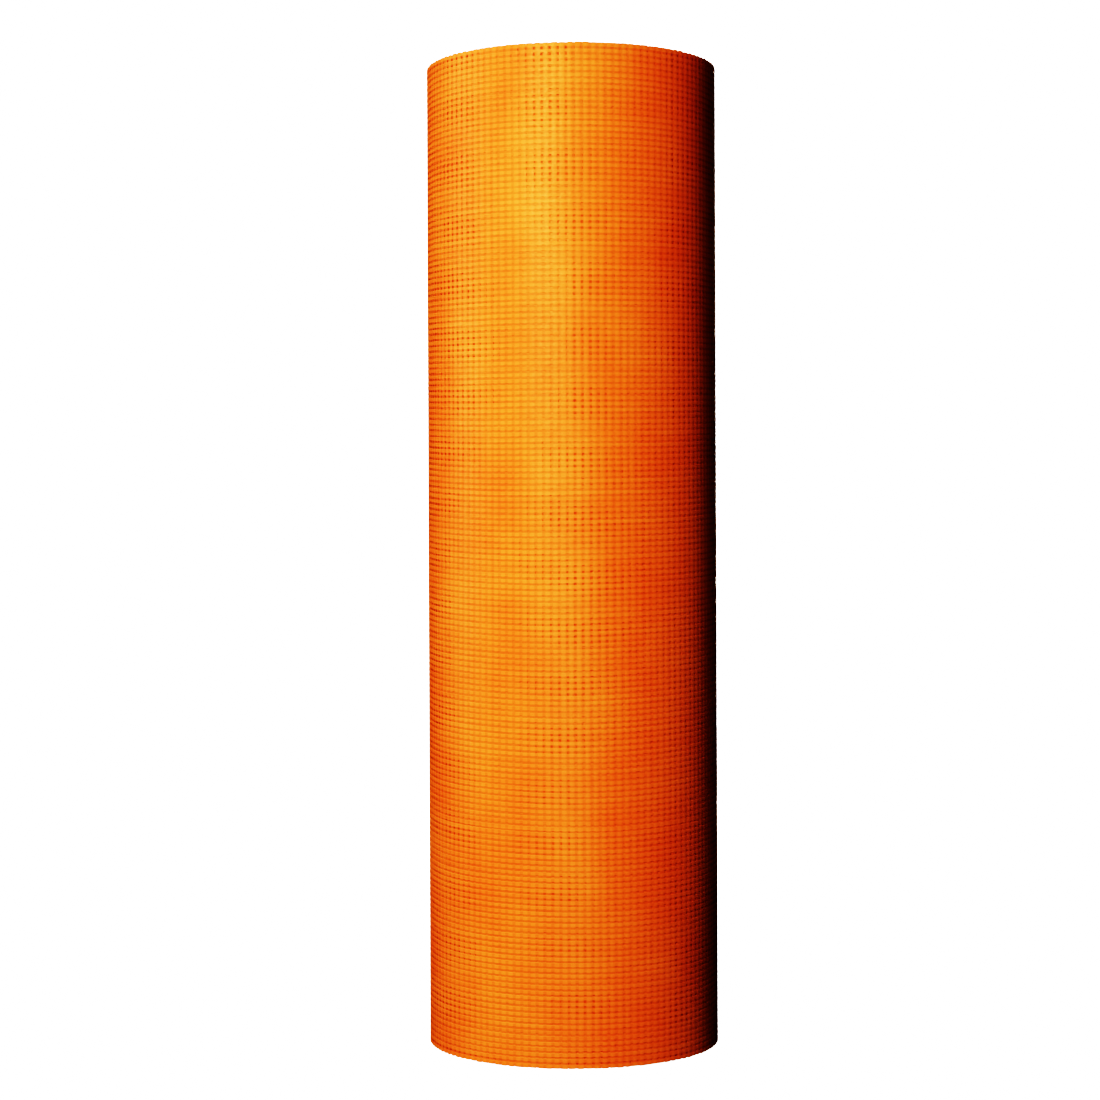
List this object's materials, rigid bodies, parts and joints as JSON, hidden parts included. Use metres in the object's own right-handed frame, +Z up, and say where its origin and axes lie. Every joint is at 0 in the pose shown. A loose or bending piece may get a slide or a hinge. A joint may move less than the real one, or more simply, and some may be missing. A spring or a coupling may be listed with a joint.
{
  "type": "roll of fibreglass mesh",
  "caption": "Tall round roll of orange coated fibreglass grid mesh, wound on itself round an open bore and standing on one end.",
  "frame": {"origin": "centre of the bore on the end that the roll stands on", "axes": "+Z up along the roll's axis; -Y is the side that the picture shows, and the web's outer end lies on the +Y side"},
  "size_m": [0.298, 0.298, 1],
  "materials": {
    "orange_mesh": "open grid of glass yarn in a semi-gloss orange polymer coating"
  },
  "bodies": {
    "root": {"mesh_roll": "orange_mesh"}
  },
  "joints": []
}
